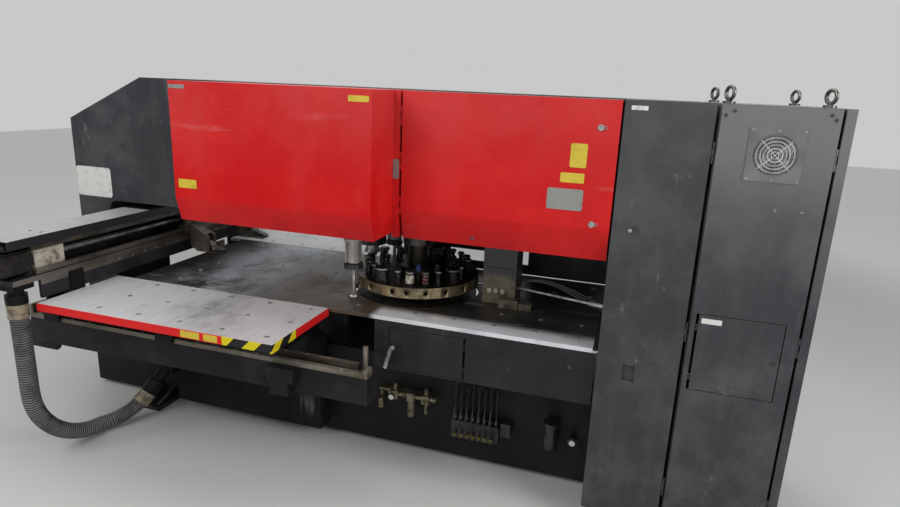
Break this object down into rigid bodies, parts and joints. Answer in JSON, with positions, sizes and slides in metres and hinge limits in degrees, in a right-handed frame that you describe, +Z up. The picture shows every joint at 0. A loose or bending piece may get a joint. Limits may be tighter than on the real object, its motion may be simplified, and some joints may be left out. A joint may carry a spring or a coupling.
{
  "type": "cnc turret punch press",
  "caption": "Bridge-frame sheet metal punch press: turret pair, carriage beam with clamps, travelling side tables, hinged covers and a control cabinet.",
  "frame": {"origin": "floor level, in the middle of the four anchor holes of the foot plates", "axes": "+X runs along the bridge frame to the control cabinet on the operator's right, +Y away from the operator, +Z up"},
  "size_m": [4.28, 2.54, 2.19],
  "materials": {
    "charcoal_paint": "dusty satin",
    "red_paint": "faded satin",
    "oily_plate": "stained with oil",
    "bright_plate": "brushed and dusty",
    "machined_steel": "turned",
    "dark_steel": "oily",
    "turret_steel": "oily, brass coloured",
    "cast_block": "oily",
    "cream_paint": "smeared with grease",
    "black_hose": "ribbed, dusty",
    "fan_plastic": "plain"
  },
  "bodies": {
    "frame": {"bridge_frame": "charcoal_paint", "foot_plates": "dark_steel", "guide_beams": "charcoal_paint", "pedestals": "charcoal_paint", "fixed_table": "oily_plate", "table_balls": "machined_steel", "front_panel": "charcoal_paint", "red_hood": "red_paint", "door_bay": "charcoal_paint", "rear_hood": "charcoal_paint", "column_housing": "charcoal_paint", "control_cabinet": "charcoal_paint", "eyebolts": "machined_steel", "electrical_plate": "machined_steel", "valve_bank": "dark_steel", "ram_housing": "dark_steel", "holder_cylinders": "machined_steel", "turret_bearings": "dark_steel", "index_housing": "dark_steel", "locator_rod": "machined_steel", "air_unit": "machined_steel", "oil_unit": "dark_steel", "service_lines": "black_hose", "cable_hose": "black_hose"},
    "carriage": {"carriage_beam": "charcoal_paint", "beam_covers": "bright_plate", "screw_supports": "cream_paint", "servo_motor": "dark_steel", "saddles": "charcoal_paint", "side_tables": "bright_plate", "table_edges": "red_paint", "side_balls": "machined_steel", "beam_collar": "charcoal_paint"},
    "screw": {"ball_screw": "machined_steel"},
    "slide": {"cross_slide": "cast_block", "work_clamps": "cast_block"},
    "front_jaw": {"front_jaw": "machined_steel"},
    "rear_jaw": {"rear_jaw": "machined_steel"},
    "upper_turret": {"upper_turret": "turret_steel", "punches": "dark_steel", "working_spring": "machined_steel"},
    "lower_turret": {"lower_turret": "dark_steel", "dies": "machined_steel"},
    "ram": {"striker": "machined_steel"},
    "working_punch": {"working_punch": "dark_steel"},
    "front_holder": {"front_holder_rod": "machined_steel"},
    "rear_holder": {"rear_holder_rod": "machined_steel"},
    "index_pin": {"index_pin": "machined_steel"},
    "red_door": {"red_door": "red_paint"},
    "upper_lock": {"upper_lock": "machined_steel"},
    "lower_lock": {"lower_lock": "machined_steel"},
    "column_door": {"column_door": "charcoal_paint"},
    "column_latch": {"column_latch": "dark_steel"},
    "cabinet_door": {"cabinet_door": "charcoal_paint", "fan_frame": "charcoal_paint"},
    "fan_rotor": {"fan_rotor": "fan_plastic"},
    "access_flap": {"access_flap": "charcoal_paint"},
    "flap_latch": {"flap_latch": "dark_steel"},
    "hatch_door": {"hatch_door": "charcoal_paint"},
    "hatch_handle": {"hatch_handle": "machined_steel"}
  },
  "joints": [
    {"name": "y_axis", "type": "slide", "parent": "frame", "child": "carriage", "axis": [1, 0, 0], "range_m": [0, 1.03]},
    {"name": "x_axis", "type": "slide", "parent": "carriage", "child": "slide", "axis": [0, 1, 0], "range_m": [-0.9, 0.15]},
    {"name": "screw_spin", "type": "hinge", "parent": "carriage", "child": "screw", "pos_m": [-1.683, 0, 1.164], "axis": [0, 1, 0], "range_deg": [-8100, 1350]},
    {"name": "front_jaw_close", "type": "hinge", "parent": "slide", "child": "front_jaw", "pos_m": [-1.46, 0.146, 1.012], "axis": [0, 1, 0], "range_deg": [0, 3]},
    {"name": "rear_jaw_close", "type": "hinge", "parent": "slide", "child": "rear_jaw", "pos_m": [-1.46, 0.654, 1.012], "axis": [0, 1, 0], "range_deg": [0, 3]},
    {"name": "turret_spin", "type": "hinge", "parent": "frame", "child": "upper_turret", "pos_m": [0.155, 0, 0], "axis": [0, 0, 1], "continuous": true},
    {"name": "lower_turret_spin", "type": "hinge", "parent": "frame", "child": "lower_turret", "pos_m": [0.155, 0, 0], "axis": [0, 0, 1], "continuous": true},
    {"name": "ram_stroke", "type": "slide", "parent": "frame", "child": "ram", "axis": [0, 0, -1], "range_m": [0, 0.034]},
    {"name": "punch_stroke", "type": "slide", "parent": "upper_turret", "child": "working_punch", "axis": [0, 0, -1], "range_m": [0, 0.034], "deforming": ["working_spring"]},
    {"name": "front_holder_lift", "type": "slide", "parent": "frame", "child": "front_holder", "axis": [0, 0, 1], "range_m": [0, 0.04]},
    {"name": "rear_holder_lift", "type": "slide", "parent": "frame", "child": "rear_holder", "axis": [0, 0, 1], "range_m": [0, 0.04]},
    {"name": "index_pin_reach", "type": "slide", "parent": "frame", "child": "index_pin", "axis": [-1, 0, 0], "range_m": [0, 0.036]},
    {"name": "red_door_hinge", "type": "hinge", "parent": "frame", "child": "red_door", "pos_m": [0.257, -0.569, 1.75], "axis": [0, 0, -1], "range_deg": [0, 90]},
    {"name": "upper_lock_turn", "type": "hinge", "parent": "red_door", "child": "upper_lock", "pos_m": [1.183, -0.575, 1.989], "axis": [0, -1, 0], "range_deg": [0, 90]},
    {"name": "lower_lock_turn", "type": "hinge", "parent": "red_door", "child": "lower_lock", "pos_m": [1.183, -0.575, 1.56], "axis": [0, -1, 0], "range_deg": [0, 90]},
    {"name": "column_door_hinge", "type": "hinge", "parent": "frame", "child": "column_door", "pos_m": [1.644, -0.57, 1.1], "axis": [0, 0, 1], "range_deg": [0, 90]},
    {"name": "column_latch_turn", "type": "hinge", "parent": "column_door", "child": "column_latch", "pos_m": [1.373, -0.575, 1.55], "axis": [0, 1, 0], "range_deg": [0, 90]},
    {"name": "cabinet_door_hinge", "type": "hinge", "parent": "frame", "child": "cabinet_door", "pos_m": [2.096, -0.57, 1.1], "axis": [0, 0, 1], "range_deg": [0, 90]},
    {"name": "fan_spin", "type": "hinge", "parent": "cabinet_door", "child": "fan_rotor", "pos_m": [1.877, -0.575, 1.918], "axis": [0, 1, 0], "continuous": true},
    {"name": "access_flap_hinge", "type": "hinge", "parent": "cabinet_door", "child": "access_flap", "pos_m": [1.685, -0.57, 1.025], "axis": [0, 0, -1], "range_deg": [0, 90]},
    {"name": "flap_latch_turn", "type": "hinge", "parent": "access_flap", "child": "flap_latch", "pos_m": [2.011, -0.575, 1.025], "axis": [0, 1, 0], "range_deg": [0, 90]},
    {"name": "hatch_hinge", "type": "hinge", "parent": "frame", "child": "hatch_door", "pos_m": [0.608, -0.534, 0.781], "axis": [0, 0, 1], "range_deg": [0, 90]},
    {"name": "hatch_handle_turn", "type": "hinge", "parent": "hatch_door", "child": "hatch_handle", "pos_m": [0.217, -0.539, 0.781], "axis": [0, -1, 0], "range_deg": [0, 90]}
  ],
  "couplings": [
    {"joint": "screw_spin", "follows": "x_axis", "rad_per_m": 157.08},
    {"joint": "rear_jaw_close", "follows": "front_jaw_close", "ratio": 1},
    {"joint": "lower_turret_spin", "follows": "turret_spin", "ratio": 1},
    {"joint": "punch_stroke", "follows": "ram_stroke", "ratio": 1},
    {"joint": "rear_holder_lift", "follows": "front_holder_lift", "ratio": 1}
  ]
}
